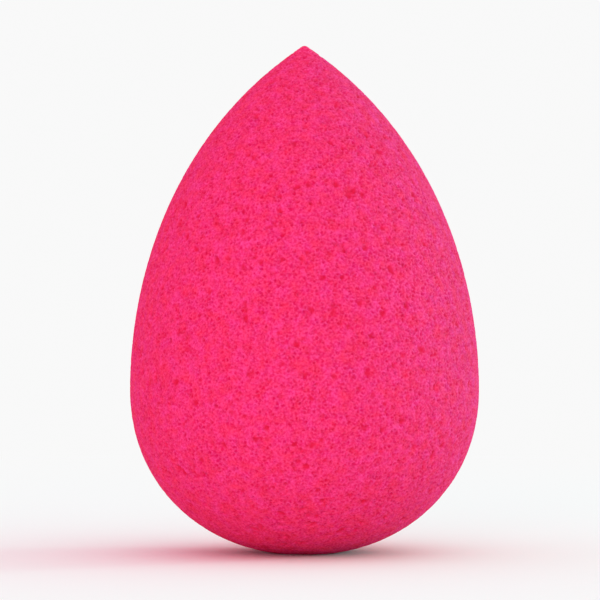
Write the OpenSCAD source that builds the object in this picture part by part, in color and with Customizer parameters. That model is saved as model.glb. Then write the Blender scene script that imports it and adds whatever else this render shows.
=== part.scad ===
// Teardrop makeup sponge: one solid drop of open-cell foam that stands on its round end.
// The origin is the centre of the rest flat, and +Z runs up the axis of the drop to the tip.

/* [Drop] */
// Height of the sponge, from the rest flat to the tip
drop_height = 60; // [52:0.5:72]
// Diameter of the girth, the widest ring of the drop
girth_diameter = 41.3; // [34:0.1:50]
// Height of the girth above the rest flat
girth_height = 19.4; // [15:0.1:24]

/* [Round end] */
// Fullness of the round end: 2 is half an ellipse, and more is squarer
round_end_fullness = 2.1; // [1.7:0.05:2.6]
// Radius of the rest flat, where the sponge's own weight presses the round end level
rest_flat_radius = 3.8; // [3:0.1:8]

/* [Flank] */
// Part of the flank's lower line, straight up from the girth, that the curve follows
upright_share = 0.46; // [0.1:0.02:0.9]
// Part of the flank's upper line, straight down from the tip, that the curve follows
slope_share = 0.78; // [0.3:0.02:0.95]

/* [Tip] */
// Angle between the axis and the flank at the tip
tip_half_angle = 56; // [46:0.5:64]
// Radius that rounds off the tip
tip_radius = 0.6; // [0.3:0.1:2]

/* [Smoothness] */
// Straight steps along the round end, and as many along the flank
curve_steps = 32; // [16:4:64]
// Straight steps over the rounded tip
tip_steps = 6; // [3:1:12]
// Straight steps round the drop
round_steps = 120; // [48:8:240]

/* [Hidden] */
hot_pink = [0.96, 0.21, 0.44];
girth_radius = girth_diameter / 2;

// The round end is a superellipse. Its full depth would reach a little below the rest flat.
flat_part = pow(rest_flat_radius / girth_radius, round_end_fullness);
round_end_depth = girth_height / pow(1 - flat_part, 1 / round_end_fullness);
flat_rim_angle = asin(sqrt(flat_part));

// The flank is a cubic curve. It leaves the girth straight up and meets the rounded tip along its slope,
// and the two straight lines cross at the flank's corner.
girth_point = [girth_radius, girth_height];
tip_centre = drop_height - tip_radius;
tip_point = [tip_radius * cos(tip_half_angle), tip_centre + tip_radius * sin(tip_half_angle)];
corner_height = tip_point.y - (girth_radius - tip_point.x) / tan(tip_half_angle);
flank_corner = [girth_radius, corner_height];
girth_handle = girth_point + upright_share * (flank_corner - girth_point);
tip_handle = tip_point + slope_share * (flank_corner - tip_point);

function round_end_point(angle) = [
    girth_radius * pow(sin(angle), 2 / round_end_fullness),
    girth_height - round_end_depth * pow(cos(angle), 2 / round_end_fullness)
];

function flank_point(t) =
    pow(1 - t, 3) * girth_point
    + 3 * pow(1 - t, 2) * t * girth_handle
    + 3 * (1 - t) * pow(t, 2) * tip_handle
    + pow(t, 3) * tip_point;

function tip_arc_point(angle) = [tip_radius * cos(angle), tip_centre + tip_radius * sin(angle)];

// Half outline of the drop, from the centre of the rest flat round to the top of the tip
function drop_outline() = concat(
    [[0, 0], [rest_flat_radius, 0]],
    [for (i = [1 : curve_steps]) round_end_point(flat_rim_angle + (90 - flat_rim_angle) * i / curve_steps)],
    [for (i = [1 : curve_steps]) flank_point(i / curve_steps)],
    [for (i = [1 : tip_steps]) tip_arc_point(tip_half_angle + (90 - tip_half_angle) * i / tip_steps)]
);

module foam_body() {
    color(hot_pink)
        rotate_extrude($fn = round_steps)
            polygon(drop_outline());
}

foam_body();
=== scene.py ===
# Teardrop makeup sponge: one drop of hot-pink open-cell foam, standing on a pale studio floor.
import math

import bpy
import numpy as np
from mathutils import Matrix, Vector, kdtree
from mathutils.geometry import delaunay_2d_cdt


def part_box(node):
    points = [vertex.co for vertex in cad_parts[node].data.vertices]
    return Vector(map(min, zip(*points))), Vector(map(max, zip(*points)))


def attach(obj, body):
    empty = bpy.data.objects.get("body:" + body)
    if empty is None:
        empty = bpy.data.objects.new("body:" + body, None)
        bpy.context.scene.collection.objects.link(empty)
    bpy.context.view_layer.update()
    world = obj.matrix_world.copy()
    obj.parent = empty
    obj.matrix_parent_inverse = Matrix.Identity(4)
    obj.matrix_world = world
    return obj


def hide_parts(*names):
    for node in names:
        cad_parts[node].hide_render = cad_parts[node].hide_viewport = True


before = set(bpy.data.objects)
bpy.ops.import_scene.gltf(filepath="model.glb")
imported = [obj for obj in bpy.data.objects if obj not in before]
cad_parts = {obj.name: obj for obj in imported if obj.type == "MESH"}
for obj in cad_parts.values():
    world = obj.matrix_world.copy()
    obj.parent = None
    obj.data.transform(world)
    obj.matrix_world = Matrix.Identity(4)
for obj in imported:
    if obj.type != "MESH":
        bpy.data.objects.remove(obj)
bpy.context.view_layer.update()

MM = 0.001

# Outline of the drop, in the terms of the solid that it covers
DROP_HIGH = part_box("foam_body")[1]
DROP_HEIGHT = DROP_HIGH.z
GIRTH_RADIUS = DROP_HIGH.x
GIRTH_HEIGHT = 19.4 * MM
ROUND_END_FULLNESS = 2.1
REST_FLAT_RADIUS = 3.8 * MM
UPRIGHT_SHARE = 0.46
SLOPE_SHARE = 0.78
TIP_HALF_ANGLE = math.radians(56)
TIP_RADIUS = 0.6 * MM

# Table of the drop's side: its steps along each curve and each end, and how near to the axis it goes
CURVE_STEPS = 1500
END_STEPS = 375
POLE_RADIUS = 0.02 * MM

# Foam cells: how far apart their centres lie, and their depth as a share of their radius.
# A bias above 1 makes narrow spacings and slight dips the common ones.
SEED = 25
CELL_CANDIDATES = 260_000
CELL_SPACING = (0.33 * MM, 0.50 * MM)
CELL_SPACING_BIAS = 3
TIP_CELL_SPACING = 0.12 * MM
TIP_CELL_GROWTH = 0.15
CELL_DEPTH_SHARE = (0.3, 0.85)
DEEPEST_PIT = 0.3 * MM
RIDGE_DIP = 0.04 * MM
RIDGE_DIP_BIAS = 2
CORNER_PULL = 0.45

# Pores: cavities larger than a cell, in three kinds of (count, radius, depth). Their rims wander, some
# have a twin, and the cells inside them are shallower. Near the tip both pores and cells are shallower.
PORE_KINDS = (
    (340, (0.31 * MM, 0.46 * MM), (0.26 * MM, 0.38 * MM)),
    (760, (0.28 * MM, 0.43 * MM), (0.16 * MM, 0.26 * MM)),
    (480, (0.24 * MM, 0.36 * MM), (0.08 * MM, 0.16 * MM)),
)
DEEPEST_PORE = 0.38 * MM
PORE_BOWL_POWER = 0.75
PORE_WANDER = 0.25
TWIN_SHARE = 0.1
TWIN_OFFSET = (0.5, 1.1)
PORE_CALM = 0.6
TIP_CALM = 3 * MM

# Colours of the foam, each as a bluer and a redder shade: its ridges, and the dark end of its random
# grain, which is also the painted shade in its cell pits
RIDGE_COLOURS = ((1.0, 0.068, 0.300, 1), (1.0, 0.054, 0.180, 1))
GRAIN_AND_PIT_SHADE_COLOURS = ((0.79, 0.007, 0.120, 1), (0.79, 0.007, 0.067, 1))
# Painted shade deep in the pores, darker and redder than the cells
PAINTED_PORE_SHADE_COLOUR = (0.76, 0.010, 0.065, 1)

# How far painted shade in the pits, random grain and painted shade in the pores darken the foam. The
# painted pore shade comes in between two shares of the deepest pore's depth.
PAINTED_PIT_SHADE = 0.60
GRAIN_SHADE = 0.70
PAINTED_PORE_SHADE = 0.90
PORE_EDGES = (0.05, 0.75)

# Fine grain and broad mottle: the scale and softness of their specks, and the noise that makes them
GRAIN_SCALE = 3800
GRAIN_SOFTNESS = 0.16
MOTTLE_SCALE = 750
MOTTLE_SOFTNESS = 0.2
NOISE_DETAIL = 1.5
NOISE_ROUGHNESS = 0.55
NOISE_MIDDLE = 0.5

# Finish of the foam: matt, the more so in its cells, with a slight bump from the grain
RIDGE_ROUGHNESS = 0.60
CELL_ROUGHNESS = 0.90
FOAM_GLOSS = 0.06
BUMP_STRENGTH = 0.5
BUMP_HEIGHT = 0.03 * MM

# Flat map of the skin: a band round the drop, and a disc each for the base and the tip
BASE_DISC_REACH = 12 * MM
BASE_DISC_CENTRE = 0.25
TIP_DISC_REACH = 8 * MM
TIP_DISC_CENTRE = 0.75
DISC_RADIUS = 0.11
MAP_EDGE = 0.01
SEAM_ANGLE = math.pi / 2

# The photograph's frame, in pixels
PHOTO_SIZE = 600
PIXELS_PER_MM = 8.442
DROP_CENTRE_X = 304.5
REST_FLAT_Y = 552.3

# Focal length and sensor width of the camera, in millimetres
LENS = 200
SENSOR = 36

# Studio: the background, and the floor that fades into it away from the sponge
BACKGROUND = (0.945, 0.945, 0.945, 1)
FLOOR_COLOUR = (0.97, 0.945, 0.95, 1)
FLOOR_RADIUS = 1.2
FLOOR_SIDES = 96
FADE_FROM = 0.06
FADE_TO = 0.24

# Light from the sky, from the horizon up and from left to right
HORIZON_LIGHT = 0.85
ZENITH_LIGHT = 0.94
HORIZON_REACH = 0.45
LEFT_TINT = (0.99, 0.60, 0.76, 1)
RIGHT_TINT = (1.01, 1.38, 1.24, 1)
TINT_REACH = 0.9

# Lamps, each as (power, size, place, colour)
FRONT_LIGHT = (1.54, 0.20, (-0.22, -0.75, 0.05), (1, 0.75, 0.90))
SIDE_LIGHT = (4.95, 0.20, (1.00, 0.30, 0.17), (0.26, 0.95, 0.80))


def mixed(a, b, share):
    """What lies this share of the way from a to b."""
    return a + (b - a) * share


def round_end():
    """Side of the round end, a superellipse from the rim of the rest flat up to the girth."""
    power = ROUND_END_FULLNESS
    flat_part = (REST_FLAT_RADIUS / GIRTH_RADIUS) ** power
    depth = GIRTH_HEIGHT / (1 - flat_part) ** (1 / power)
    angle = np.linspace(math.asin(math.sqrt(flat_part)), math.pi / 2, CURVE_STEPS)
    across = np.abs(np.sin(angle)) ** (2 / power)
    down = np.abs(np.cos(angle)) ** (2 / power)
    return GIRTH_RADIUS * across, GIRTH_HEIGHT - depth * down


def flank():
    """Side of the drop from the girth up to the rounded tip, a cubic curve."""
    tip = np.array([
        TIP_RADIUS * math.cos(TIP_HALF_ANGLE),
        DROP_HEIGHT - TIP_RADIUS + TIP_RADIUS * math.sin(TIP_HALF_ANGLE),
    ])
    girth = np.array([GIRTH_RADIUS, GIRTH_HEIGHT])
    corner = np.array([GIRTH_RADIUS, tip[1] - (GIRTH_RADIUS - tip[0]) / math.tan(TIP_HALF_ANGLE)])
    girth_handle = mixed(girth, corner, UPRIGHT_SHARE)
    tip_handle = mixed(tip, corner, SLOPE_SHARE)
    t = np.linspace(0, 1, CURVE_STEPS)[:, None]
    curve = (
        (1 - t) ** 3 * girth
        + 3 * (1 - t) ** 2 * t * girth_handle
        + 3 * (1 - t) * t**2 * tip_handle
        + t**3 * tip
    )
    return curve.T


def rest_flat():
    """The flat that the drop stands on, from close to the axis out to its rim."""
    radius = np.geomspace(POLE_RADIUS, REST_FLAT_RADIUS, END_STEPS)
    return radius, np.zeros_like(radius)


def rounded_tip():
    """Small arc over the top of the drop, from the flank to close to the axis."""
    radius = np.geomspace(TIP_RADIUS * math.cos(TIP_HALF_ANGLE), POLE_RADIUS, END_STEPS)
    return radius, DROP_HEIGHT - TIP_RADIUS + np.sqrt(TIP_RADIUS**2 - radius**2)


class Side:
    """The drop's side as a table from the rest flat to the tip, read at any latitude.

    Latitude runs from large at the flat to minus large at the tip. On it and the angle round the
    axis, a small circle on the foam stays a circle, so neighbours stay neighbours.
    """

    def __init__(self):
        stretches = [rest_flat(), round_end(), flank(), rounded_tip()]
        outline = np.hstack([stretches[0]] + [np.array(part)[:, 1:] for part in stretches[1:]])
        self.radius, self.height = outline
        length = np.hypot(*np.diff(outline, axis=1))
        middle = (self.radius[1:] + self.radius[:-1]) / 2
        self.along = np.concatenate([[0], np.cumsum(length)])
        self.area = np.concatenate([[0], np.cumsum(2 * math.pi * middle * length)])
        climb = np.concatenate([[0], np.cumsum(length / middle)])
        self.latitude = climb[np.argmax(self.radius)] - climb
        slope = np.gradient(outline, self.along, axis=1)
        self.out, self.up = slope[1], -slope[0]

    def at_area(self, share):
        """Latitude up to which this share of the drop's area lies."""
        return np.interp(share * self.area[-1], self.area, self.latitude)

    def read(self, latitude, values):
        """One column of the table at these latitudes."""
        return np.interp(-latitude, -self.latitude, values)

    def from_base(self, latitude):
        """Distance over the foam from the middle of the base."""
        return self.read(latitude, self.along)

    def from_tip(self, latitude):
        """Distance over the foam from the top of the tip."""
        return self.along[-1] - self.from_base(latitude)

    def places(self, latitude, angle):
        """Points of the smooth drop, before any foam is sunk into it."""
        radius = self.read(latitude, self.radius)
        return np.stack([
            radius * np.cos(angle), radius * np.sin(angle), self.read(latitude, self.height)
        ], axis=1)

    def normals(self, latitude, angle):
        """Directions straight out of the smooth drop."""
        out = self.read(latitude, self.out)
        normal = np.stack([
            out * np.cos(angle), out * np.sin(angle), self.read(latitude, self.up)
        ], axis=1)
        return normal / np.linalg.norm(normal, axis=1, keepdims=True)


def found_by_place(places):
    """Tree that finds which of these places lie near a point."""
    tree = kdtree.KDTree(len(places))
    for i, place in enumerate(places):
        tree.insert(place, i)
    tree.balance()
    return tree


def cell_centres(side, rng):
    """Cell centres at random over the drop, and the foot of the drop last.

    None lies nearer to an earlier one than that one's spacing.
    """
    latitude = side.at_area(rng.random(CELL_CANDIDATES))
    angle = rng.uniform(-math.pi, math.pi, CELL_CANDIDATES)
    spacing = mixed(*CELL_SPACING, rng.random(CELL_CANDIDATES) ** CELL_SPACING_BIAS)
    spacing = np.minimum(spacing, TIP_CELL_SPACING + TIP_CELL_GROWTH * side.from_tip(latitude))
    places = side.places(latitude, angle)
    tree = found_by_place(places)
    free = np.ones(CELL_CANDIDATES, bool)
    kept = []
    for i, place in enumerate(places):
        if free[i]:
            kept.append(i)
            near = [found[1] for found in tree.find_range(place, spacing[i])]
            free[near] = False
    latitude = np.append(latitude[kept], side.latitude[0])
    return latitude, np.append(angle[kept], 0.0)


def on_ball(latitude, angle):
    """The same places on a unit ball, with the rest flat at its foot."""
    polar = 2 * np.arctan(np.exp(latitude))
    return np.stack([
        np.sin(polar) * np.cos(angle), np.sin(polar) * np.sin(angle), np.cos(polar)
    ], axis=1)


def joined_centres(latitude, angle):
    """Triangles that join neighbouring cell centres, the last of which is the foot of the drop."""
    spread = np.exp(latitude[:-1])
    flat_places = np.stack([spread * np.cos(angle[:-1]), spread * np.sin(angle[:-1])], axis=1)
    faces = delaunay_2d_cdt([Vector(place) for place in flat_places], [], [], 0, 0.0)[2]
    faces = np.array(faces)
    a, b, c = (flat_places[faces[:, i]] for i in range(3))
    clockwise = np.cross(b - a, c - a) < 0
    faces[clockwise] = faces[clockwise][:, ::-1]
    count = len(latitude)
    start = faces.ravel()
    end = np.roll(faces, -1, axis=1).ravel()
    rim = ~np.isin(start * count + end, end * count + start)
    foot = np.full(rim.sum(), count - 1)
    return np.vstack([faces, np.stack([end[rim], start[rim], foot], axis=1)])


def cell_corners(triangles, ball):
    """Where three cells meet, one place for each triangle of centres, as latitude and angle."""
    a, b, c = (ball[triangles[:, i]] for i in range(3))
    even = np.cross(b - a, c - a)
    even /= np.linalg.norm(even, axis=1, keepdims=True)
    middle = a + b + c
    middle /= np.linalg.norm(middle, axis=1, keepdims=True)
    corner = mixed(even, middle, CORNER_PULL)
    corner /= np.linalg.norm(corner, axis=1, keepdims=True)
    polar = np.arccos(np.clip(corner[:, 2], -1, 1))
    return np.log(np.tan(polar / 2)), np.arctan2(corner[:, 1], corner[:, 0])


def cell_fans(triangles, count):
    """Faces of the skin: each cell is a fan from its centre to its corners, counted on from count."""
    start = triangles.ravel()
    end = np.roll(triangles, -1, axis=1).ravel()
    left = np.repeat(np.arange(len(triangles)), 3)
    edge = start * count + end
    order = np.argsort(edge)
    right = left[order[np.searchsorted(edge, end * count + start, sorter=order)]]
    return np.stack([start, count + right, count + left], axis=1)


def cell_depths(faces, places, count, rng):
    """How far each cell's centre sinks, from nearly shut cells to wide open ones."""
    reach = np.linalg.norm(places[faces[:, 1]] - places[faces[:, 0]], axis=1)
    radius = np.bincount(faces[:, 0], reach, count) / np.bincount(faces[:, 0], minlength=count)
    return radius * rng.uniform(*CELL_DEPTH_SHARE, count)


def scattered_pores(side, rng):
    """Place, radius and depth of every pore. Some have a twin that runs into them."""
    pores = []
    for count, radii, depths in PORE_KINDS:
        latitude = side.at_area(rng.random(count))
        angle = rng.uniform(-math.pi, math.pi, count)
        radius = rng.uniform(*radii, count)
        depth = rng.uniform(*depths, count)
        offset = rng.uniform(*TWIN_OFFSET, count) * radius / side.read(latitude, side.radius)
        way = rng.uniform(0, math.tau, count)
        twin = rng.random(count) < TWIN_SHARE
        twin_latitude = (latitude + offset * np.cos(way))[twin]
        twin_angle = (angle + offset * np.sin(way))[twin]
        pores.extend(zip(side.places(latitude, angle), radius, depth))
        pores.extend(zip(side.places(twin_latitude, twin_angle), radius[twin], depth[twin]))
    return pores


def pore_depths(places, pores, rng):
    """How far each place sinks into the deepest pore that reaches it."""
    tree = found_by_place(places)
    depth = np.zeros(len(places))
    for centre, radius, deepest in pores:
        found = tree.find_range(centre, radius * (1 + PORE_WANDER))
        if not found:
            continue
        near = np.array([item[1] for item in found])
        away = np.array([item[2] for item in found]) / radius
        away *= 1 + PORE_WANDER * rng.uniform(-1, 1, len(near))
        bowl = deepest * np.clip(1 - away**2, 0, 1) ** PORE_BOWL_POWER
        depth[near] = np.maximum(depth[near], bowl)
    return depth


def skin_map(side, latitude, angle, faces):
    """Place of each face's corners on the flat map of the skin.

    A face across the seam keeps its corners together, some of them just past the end of the band.
    """
    base = side.from_base(latitude)
    tip = side.from_tip(latitude)
    turn = (((angle - SEAM_ANGLE) / math.tau) % 1)[faces]
    past_seam = (np.ptp(turn, axis=1) > 0.5)[:, None] & (turn < 0.5)
    band_length = side.along[-1] - BASE_DISC_REACH - TIP_DISC_REACH
    band_foot = 2 * (DISC_RADIUS + MAP_EDGE)
    share = ((base - BASE_DISC_REACH) / band_length)[faces]
    across = mixed(MAP_EDGE, 1 - 2 * MAP_EDGE, turn + past_seam)
    places = np.stack([across, mixed(band_foot + MAP_EDGE, 1 - MAP_EDGE, share)], axis=2)
    discs = ((BASE_DISC_CENTRE, BASE_DISC_REACH, base), (TIP_DISC_CENTRE, TIP_DISC_REACH, tip))
    for centre, reach, away in discs:
        spread = away / reach * DISC_RADIUS
        disc = np.stack([
            centre + spread * np.cos(angle), MAP_EDGE + DISC_RADIUS + spread * np.sin(angle)
        ], axis=1)
        inside = away[faces].mean(axis=1) < reach
        places[inside] = disc[faces][inside]
    return places


def foam_skin():
    """The drop's skin: places, faces, pits and pores by place, and the flat map by face."""
    rng = np.random.default_rng(SEED)
    side = Side()
    latitude, angle = cell_centres(side, rng)
    count = len(latitude)
    triangles = joined_centres(latitude, angle)
    corner_latitude, corner_angle = cell_corners(triangles, on_ball(latitude, angle))
    corner_latitude = np.clip(corner_latitude, side.latitude[-1], side.latitude[0])
    faces = cell_fans(triangles, count)
    latitude = np.concatenate([latitude, corner_latitude])
    angle = np.concatenate([angle, corner_angle])
    places = side.places(latitude, angle)

    centre_depth = cell_depths(faces, places, count, rng)
    ridge_depth = RIDGE_DIP * rng.random(len(triangles)) ** RIDGE_DIP_BIAS
    pit = np.concatenate([centre_depth, ridge_depth])
    pore = pore_depths(places, scattered_pores(side, rng), rng)
    depth = pore + pit * (1 - PORE_CALM * pore / DEEPEST_PORE)
    depth *= np.clip(side.from_tip(latitude) / TIP_CALM, 0, 1)
    places = places - side.normals(latitude, angle) * depth[:, None]
    flat_map = skin_map(side, latitude, angle, faces)
    return places, faces, pit / DEEPEST_PIT, pore / DEEPEST_PORE, flat_map


def sponge():
    """The whole sponge as one mesh holding how deep its pits and pores are, for the material's painted
    shade.
    """
    places, faces, pit, pore, flat_map = foam_skin()
    mesh = bpy.data.meshes.new("sponge_foam")
    mesh.from_pydata(places.tolist(), [], faces.tolist())
    mesh.polygons.foreach_set("use_smooth", np.ones(len(faces), bool))
    for name, values in (("pit", pit), ("pore", pore)):
        attribute = mesh.attributes.new(name, "FLOAT", "POINT")
        attribute.data.foreach_set("value", values.astype(np.float32))
    uv_map = mesh.uv_layers.new(name="OFBake")
    uv_map.uv.foreach_set("vector", flat_map.astype(np.float32).ravel())
    mesh.update()
    piece = bpy.data.objects.new("sponge_foam", mesh)
    bpy.context.scene.collection.objects.link(piece)
    return piece


class Nodes:
    """Short way to add nodes to a tree: an input takes a fixed value, or another node's output."""

    def __init__(self, tree):
        self.tree = tree

    def feed(self, socket, value):
        if isinstance(value, bpy.types.NodeSocket):
            self.tree.links.new(value, socket)
        else:
            socket.default_value = value

    def add(self, kind, inputs=None, **settings):
        node = self.tree.nodes.new(kind)
        for name, value in settings.items():
            setattr(node, name, value)
        for name, value in (inputs or {}).items():
            self.feed(node.inputs[name], value)
        return node

    def attribute(self, name):
        return self.add("ShaderNodeAttribute", attribute_name=name).outputs["Fac"]

    def math(self, operation, a, b):
        node = self.add("ShaderNodeMath", operation=operation)
        self.feed(node.inputs[0], a)
        self.feed(node.inputs[1], b)
        return node.outputs[0]

    def ramp(self, value, low, high, to_low=0.0, to_high=1.0, smooth=False):
        return self.add("ShaderNodeMapRange", {
            "Value": value, "From Min": low, "From Max": high, "To Min": to_low, "To Max": to_high,
        }, interpolation_type="SMOOTHSTEP" if smooth else "LINEAR").outputs["Result"]

    def colour_mix(self, share, a, b):
        return self.add(
            "ShaderNodeMix", {"Factor": share, "A": a, "B": b}, data_type="RGBA"
        ).outputs["Result"]


def speckle_group():
    """Shader group: soft specks of one scale, from 0 to 1, that fill the foam through and through."""
    group = bpy.data.node_groups.new("speckle", "ShaderNodeTree")
    group.interface.new_socket("Place", in_out="INPUT", socket_type="NodeSocketVector")
    group.interface.new_socket("Scale", in_out="INPUT", socket_type="NodeSocketFloat")
    group.interface.new_socket("Softness", in_out="INPUT", socket_type="NodeSocketFloat")
    group.interface.new_socket("Speckle", in_out="OUTPUT", socket_type="NodeSocketFloat")
    nodes = Nodes(group)
    given = nodes.add("NodeGroupInput").outputs
    noise = nodes.add("ShaderNodeTexNoise", {
        "Vector": given["Place"], "Scale": given["Scale"],
        "Detail": NOISE_DETAIL, "Roughness": NOISE_ROUGHNESS,
    })
    low = nodes.math("SUBTRACT", NOISE_MIDDLE, given["Softness"])
    high = nodes.math("ADD", NOISE_MIDDLE, given["Softness"])
    speckle = nodes.ramp(noise.outputs["Fac"], low, high)
    nodes.add("NodeGroupOutput", {"Speckle": speckle})
    return group


def foam_material():
    """Hot-pink foam with random grain, and painted shade darker and redder in its cells, most in its
    pores.
    """
    material = bpy.data.materials.new("foam")
    material.use_nodes = True
    shader = material.node_tree.nodes["Principled BSDF"]
    nodes = Nodes(material.node_tree)
    place = nodes.add("ShaderNodeTexCoord").outputs["Object"]
    speckle = speckle_group()

    def specks(scale, softness):
        group = nodes.add("ShaderNodeGroup", node_tree=speckle)
        nodes.feed(group.inputs["Place"], place)
        nodes.feed(group.inputs["Scale"], scale)
        nodes.feed(group.inputs["Softness"], softness)
        return group.outputs["Speckle"]

    grain = specks(GRAIN_SCALE, GRAIN_SOFTNESS)
    mottle = specks(MOTTLE_SCALE, MOTTLE_SOFTNESS)
    # Painted shade: the deeper a cell's pit, the darker and redder its colour, on top of the random
    # grain
    painted_pit_shade = nodes.math("MULTIPLY", nodes.attribute("pit"), PAINTED_PIT_SHADE)
    shade = nodes.math("ADD", painted_pit_shade, nodes.math("MULTIPLY", grain, GRAIN_SHADE))
    ridges = nodes.colour_mix(mottle, *RIDGE_COLOURS)
    dark_grain_and_pit_shade = nodes.colour_mix(mottle, *GRAIN_AND_PIT_SHADE_COLOURS)
    # Painted shade: the deeper a pore, the more its colour turns to the painted pore shade
    painted_pore_shade = nodes.ramp(nodes.attribute("pore"), *PORE_EDGES, 0.0, PAINTED_PORE_SHADE, smooth=True)
    cells = nodes.colour_mix(shade, ridges, dark_grain_and_pit_shade)
    nodes.feed(shader.inputs["Base Color"], nodes.colour_mix(painted_pore_shade, cells, PAINTED_PORE_SHADE_COLOUR))
    roughness = nodes.ramp(shade, 0, 1, RIDGE_ROUGHNESS, CELL_ROUGHNESS)
    nodes.feed(shader.inputs["Roughness"], roughness)
    bump = nodes.add("ShaderNodeBump", {
        "Height": grain, "Strength": BUMP_STRENGTH, "Distance": BUMP_HEIGHT,
    })
    nodes.feed(shader.inputs["Normal"], bump.outputs["Normal"])
    shader.inputs["Specular IOR Level"].default_value = FOAM_GLOSS
    return material


def seen_directly(nodes):
    """1 where the camera, a reflection or glass looks, and 0 for light on its way to the object."""
    path = nodes.add("ShaderNodeLightPath").outputs
    mirrored = nodes.math("MAXIMUM", path["Is Glossy Ray"], path["Is Transmission Ray"])
    return nodes.math("MAXIMUM", path["Is Camera Ray"], mirrored)


def floor_material():
    """Matt pale floor that fades into the background colour away from the sponge."""
    material = bpy.data.materials.new("studio_floor")
    material.use_nodes = True
    nodes = Nodes(material.node_tree)
    shader = material.node_tree.nodes["Principled BSDF"]
    shader.inputs["Base Color"].default_value = FLOOR_COLOUR
    shader.inputs["Specular IOR Level"].default_value = 0.0
    place = nodes.add("ShaderNodeTexCoord").outputs["Object"]
    away = nodes.add("ShaderNodeVectorMath", {0: place}, operation="LENGTH").outputs["Value"]
    fade = nodes.ramp(away, FADE_FROM, FADE_TO, smooth=True)
    share = nodes.math("MULTIPLY", fade, seen_directly(nodes))
    background = nodes.add("ShaderNodeEmission", {"Color": BACKGROUND, "Strength": 1.0})
    both = nodes.add("ShaderNodeMixShader", {0: share, 1: shader.outputs[0], 2: background.outputs[0]})
    nodes.feed(material.node_tree.nodes["Material Output"].inputs["Surface"], both.outputs[0])
    return material


def studio_floor():
    """Wide round floor under the sponge, which isn't part of it."""
    mesh = bpy.data.meshes.new("studio_floor")
    turns = np.linspace(0, math.tau, FLOOR_SIDES, endpoint=False)
    rim = [(FLOOR_RADIUS * math.cos(turn), FLOOR_RADIUS * math.sin(turn), 0) for turn in turns]
    mesh.from_pydata(rim, [], [tuple(range(len(rim)))])
    mesh.materials.append(floor_material())
    floor = bpy.data.objects.new("studio_floor", mesh)
    bpy.context.scene.collection.objects.link(floor)


def sky_light():
    """Soft light from all round, warmer on the left and cooler on the right.

    The camera, reflections and glass see the plain background instead.
    """
    world = bpy.data.worlds.new("studio")
    world.use_nodes = True
    nodes = Nodes(world.node_tree)
    light = world.node_tree.nodes["Background"]
    way = nodes.add("ShaderNodeTexCoord").outputs["Generated"]
    across, _, climb = nodes.add("ShaderNodeSeparateXYZ", {"Vector": way}).outputs
    tint = nodes.colour_mix(nodes.ramp(across, -TINT_REACH, TINT_REACH), LEFT_TINT, RIGHT_TINT)
    nodes.feed(light.inputs["Color"], tint)
    level = nodes.ramp(climb, 0, HORIZON_REACH, HORIZON_LIGHT, ZENITH_LIGHT)
    nodes.feed(light.inputs["Strength"], level)
    seen = nodes.add("ShaderNodeBackground", {"Color": BACKGROUND, "Strength": 1.0})
    both = nodes.add("ShaderNodeMixShader", {
        0: seen_directly(nodes), 1: light.outputs[0], 2: seen.outputs[0],
    })
    nodes.feed(world.node_tree.nodes["World Output"].inputs["Surface"], both.outputs[0])
    bpy.context.scene.world = world


def soft_lamp(name, power, size, place, colour):
    """Round lamp that faces the middle of the sponge, with its power in watts and its size in metres."""
    lamp = bpy.data.lights.new(name, "AREA")
    lamp.shape = "DISK"
    lamp.size = size
    lamp.energy = power
    lamp.color = colour
    light = bpy.data.objects.new(name, lamp)
    light.location = place
    aim = Vector((0, 0, DROP_HEIGHT / 2)) - light.location
    light.rotation_euler = aim.to_track_quat("-Z", "Y").to_euler()
    bpy.context.scene.collection.objects.link(light)


def photo_camera():
    """Level camera that frames the sponge as the photograph does."""
    lens = bpy.data.cameras.new("photo_camera")
    lens.lens = LENS
    lens.sensor_width = SENSOR
    camera = bpy.data.objects.new("photo_camera", lens)
    pixel = MM / PIXELS_PER_MM
    centre = PHOTO_SIZE / 2
    distance = PHOTO_SIZE * pixel * LENS / SENSOR
    camera.location = (
        (centre - DROP_CENTRE_X) * pixel, -distance, (REST_FLAT_Y - centre) * pixel
    )
    camera.rotation_euler = (math.pi / 2, 0, 0)
    bpy.context.scene.collection.objects.link(camera)
    bpy.context.scene.camera = camera


bpy.context.scene.view_settings.view_transform = "Standard"
foam = sponge()
foam.data.materials.append(foam_material())
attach(foam, "root")
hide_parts("foam_body")
studio_floor()
sky_light()
soft_lamp("front_light", *FRONT_LIGHT)
soft_lamp("side_light", *SIDE_LIGHT)
photo_camera()
